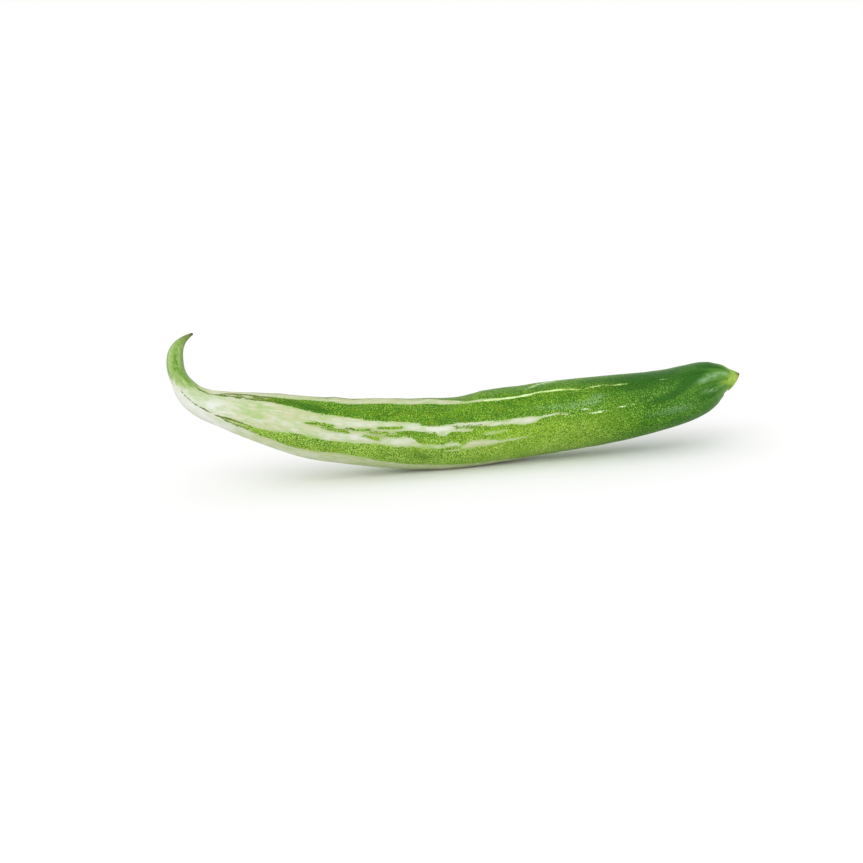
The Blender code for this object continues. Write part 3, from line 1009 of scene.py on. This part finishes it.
def green_colour(graph, place, lengthwise, specks):
    """The green of the bands: slow changes of tone, dark specks, fine light flecks and light dots.

    Towards the stalk it grows deeper, in streaks that run together at the joint.
    """
    clouds = graph.noise(place, 9.0, along=0.5)
    hues = graph.noise(place, 4.0, detail=3.0, along=0.5)
    streaks = graph.noise(lengthwise, 3.0, detail=3.0, along=0.07)

    green = graph.mix("light_side", DEEP_GREEN, LIGHT_GREEN)
    green = graph.tint(green, graph.step(clouds, 0.42, 0.7), 0.6, LIGHT_GREEN)
    green = graph.tint(green, graph.step(hues, 0.52, 0.7), 0.4, OLIVE_GREEN)
    green = graph.tint(green, graph.step(hues, 0.52, 0.3), 0.55, COOL_GREEN)
    green = graph.mix("lime", green, LIME)
    green = graph.tint(green, "olive", 0.6, OLIVE)
    end_tone = graph.mix(graph.step(streaks, 0.4, 0.65), END_GREEN, END_DEEP)
    green = graph.mix("stalk_end", green, end_tone)
    green = graph.mix("smooth_end", green, SHOULDER_GREEN)
    green = graph.tint(green, graph.step(streaks, 0.5, 0.62), "smooth_end", END_DEEP)
    green = graph.tint(green, "dark", 0.85, END_DEEP)

    speck_share = graph.mix_numbers("smooth_end", 0.85, 0.34)
    green = graph.tint(green, graph.step(specks, 0.5, 0.38), speck_share, DARK_SPECK)

    spread = graph.step(graph.noise(place, FLECK_CLOUD_SIZE, detail=1.0), 0.3, 0.65)
    share = graph.mix_numbers(spread, 0.6, 1.0)
    share = graph.times(share, graph.mix_numbers("smooth_end", 1.0, 0.4))
    share = graph.times(share, graph.mix_numbers("dark", 1.0, 0.2))
    grain = graph.step(graph.noise(place, FLECK_SIZE, detail=1.0), 0.5, 0.6)
    fleck = graph.mix("light_side", DEEP_FLECK, LIGHT_FLECK)
    fleck = graph.mix("stalk_end", fleck, END_FLECK)
    fleck_share = graph.times(share, graph.mix_numbers("light_side", 0.7, 0.9))
    green = graph.tint(green, grain, fleck_share, fleck)

    dots = graph.step(graph.dot_distance(place, DOT_SPACING), 0.36, 0.2)
    dot = graph.mix("light_side", DEEP_DOT, LIGHT_DOT)
    dot = graph.mix("stalk_end", dot, END_DOT)
    dot_share = graph.times(share, graph.mix_numbers("stalk_end", 0.85, 0.8))
    return graph.tint(green, dots, dot_share, dot)


def pale_colour(graph, place, lengthwise, near_green):
    """The pale ground, whiter at the tail, with cream, greenish and whitish blotches, and a greyish band of
    painted shade along the upper outline.
    """
    warm = graph.noise(place, 6.0, detail=3.0, along=0.4)
    blotches = graph.noise(place, 3.6, detail=3.0, along=0.45)
    fibres = graph.noise(lengthwise, 1.2, along=FIBRE_SQUEEZE)
    pale = graph.mix("whiter", PALE, PALE_WHITE)
    pale = graph.tint(pale, graph.step(warm, 0.45, 0.65), 0.7, PALE_CREAM)
    pale = graph.tint(pale, graph.step(blotches, 0.46, 0.66), 0.55, PALE_TINT)
    white_tone = graph.mix("stalk_end", GREY_WHITE, GREEN_WHITE)
    white_share = graph.mix_numbers(graph.step(blotches, 0.7, 0.4), 0.4, 1.0)
    # The whitish patches include painted highlights on the crest.
    pale = graph.tint(pale, "white", white_share, white_tone)
    pale = graph.mix("tint", pale, PALE_TINT)
    pale = graph.tint(pale, graph.step(fibres, 0.48, 0.66), 0.5, GREY_WHITE)
    pale = graph.tint(pale, "lime", 0.75, PALE_LIME)
    pale = graph.tint(pale, "olive", 0.8, OLIVE)
    streaky = graph.math("MAXIMUM", graph.step(blotches, 0.38, 0.58), graph.step(fibres, 0.52, 0.62))
    # Painted shade: a streaky greyish band along the upper outline.
    rim = graph.times("top_rim_shade", streaky)
    pale = graph.tint(pale, rim, 0.85, RIM_SHADE_GREY)
    return graph.tint(pale, near_green, 0.45, PALE_TINT)


def with_bloom_and_sheen(graph, place, specks, colour):
    """Whitish waxy bloom and painted sheen in soft patches: speckled along the side, and in smooth streaks
    at the stalk.
    """
    soft = graph.step(graph.noise(place, 1.8, along=0.2), 0.25, 0.7)
    speckled = graph.step(specks, 0.35, 0.6)
    share = graph.mix_numbers("smooth_end", speckled, soft)
    return graph.tint(colour, "bloom", share, BLOOM_AND_SHEEN)


def with_tail(graph, place, specks, colour):
    """The soft green of the curled end, with deeper and lighter streaks, and its dry tip."""
    streaks = graph.noise(place, 1.1, detail=3.0, along=0.45)
    tail = graph.tint(TAIL_GREEN, graph.step(streaks, 0.42, 0.66), 0.6, TAIL_DEEP)
    tail = graph.tint(tail, graph.step(specks, 0.5, 0.7), 0.35, TAIL_LIGHT)
    mottles = graph.step(graph.noise(place, 1.4, along=0.6), 0.36, 0.6)
    mottled = graph.mix_numbers(mottles, 0.3, 1.0)
    # The lighter patches include painted glints, and the greyish ones painted shade along the tail's
    # outlines.
    for name, tone in (("tail_deep", TAIL_DEEP), ("tail_light", TAIL_LIGHT), ("tail_grey", TAIL_GREY_AND_SHADE)):
        tail = graph.tint(tail, name, mottled, tone)
    from_tip = graph.moved("from_tip", streaks, 1.0)
    tail = graph.tint(tail, graph.step(from_tip, 12.0, 3.0), 0.8, TIP_OLIVE)
    tail = graph.mix(graph.step(from_tip, 3.0, 0.8), tail, TIP_BROWN)
    ragged = graph.noise(place, 1.6, detail=3.0, along=0.25)
    depth = graph.moved("tail_depth", ragged, 9.0)
    return graph.mix(graph.step(depth, -5.5, 4.0), colour, tail)


def with_yellow_end(graph, lengthwise, colour):
    """Lighter green that runs up from the stalk in short streaks, and yellow patches at the joint."""
    streaks = graph.noise(lengthwise, 3.0, along=0.1)
    reach = graph.moved("from_joint", streaks, 6.0)
    lit = graph.mix_numbers("dark", 0.5, 0.0)
    colour = graph.tint(colour, graph.step(reach, 13.0, 1.0), lit, STALK_GREEN)
    return graph.tint(colour, "yellow", graph.step(streaks, 0.3, 0.55), STALK_YELLOW)


def stalk_material():
    """Smooth fibres along the stub, green and brown spots, and a dull rim round the pale cut."""
    graph = Graph("stalk skin")
    place = graph.vector("place")
    fibres = graph.noise(place, 1.2, along=0.12)
    patches = graph.noise(place, 2.4, along=0.4)
    spots = graph.step(graph.noise(place, 1.3), 0.35, 0.55)
    pith = graph.step(graph.noise(place, 1.1, detail=3.0), 0.4, 0.65)
    colour = graph.tint(STALK_YELLOW, graph.step(fibres, 0.4, 0.65), 0.4, STALK_GREEN)
    colour = graph.tint(colour, graph.step(patches, 0.5, 0.7), 0.5, STALK_GREEN)
    colour = graph.mix("green", colour, STALK_GREEN)
    colour = graph.tint(colour, "rim", spots, CUT_RIM)
    colour = graph.tint(colour, "brown", graph.add(spots, 0.3), STALK_BROWN)
    flesh = graph.tint(CUT_FLESH, pith, 0.6, STALK_YELLOW)
    colour = graph.mix("flesh", colour, flesh)
    roughness = graph.moved(0.5, fibres, 0.1)
    graph.bump(fibres, 0.15 * MM, 0.5)
    return graph.finish(colour, roughness, SKIN_SPECULAR)


def build_floor():
    """A wide round floor, so that it shows no edge from any side."""
    mesh = bpy.data.meshes.new("floor")
    rim = [disc_place(FLOOR_DISC, number / FLOOR_SIDES) for number in range(FLOOR_SIDES)]
    mesh.from_pydata([(x, y, 0.0) for x, y in rim], [], [range(FLOOR_SIDES)])
    mesh.materials.append(Graph("floor").finish(FLOOR_WHITE, FLOOR_ROUGHNESS, FLOOR_SPECULAR))
    floor = new_object("floor", mesh)


def build_light():
    """A plain white surround, and one broad soft light from the camera's side."""
    world = bpy.data.worlds.new("studio")
    world.use_nodes = True
    background = world.node_tree.nodes["Background"]
    background.inputs["Color"].default_value = (1.0, 1.0, 1.0, 1.0)
    background.inputs["Strength"].default_value = SURROUND_STRENGTH
    bpy.context.scene.world = world
    light = bpy.data.lights.new("soft light", "SUN")
    light.energy = LIGHT_STRENGTH
    light.angle = LIGHT_SPREAD
    lamp = new_object("soft light", light)
    lamp.rotation_euler = LIGHT_FROM.to_track_quat("Z", "Y").to_euler()


def build_camera():
    lens = bpy.data.cameras.new("camera")
    lens.lens = LENS
    lens.sensor_width = SENSOR
    lens.clip_start, lens.clip_end = CLIP
    camera = new_object("camera", lens)
    raised = Matrix.Rotation(math.pi / 2 - ELEVATION, 4, "X")
    back = Matrix.Translation((0.0, 0.0, SEEN_WIDTH * LENS / SENSOR))
    camera.matrix_world = Matrix.Translation(AIM) @ raised @ back @ Matrix.Rotation(-ROLL, 4, "Z")
    bpy.context.scene.camera = camera


def main():
    bpy.context.scene.view_settings.view_transform = "Standard"
    build_camera()
    build_light()
    build_floor()
    build_fruit()
    build_stalk()


main()
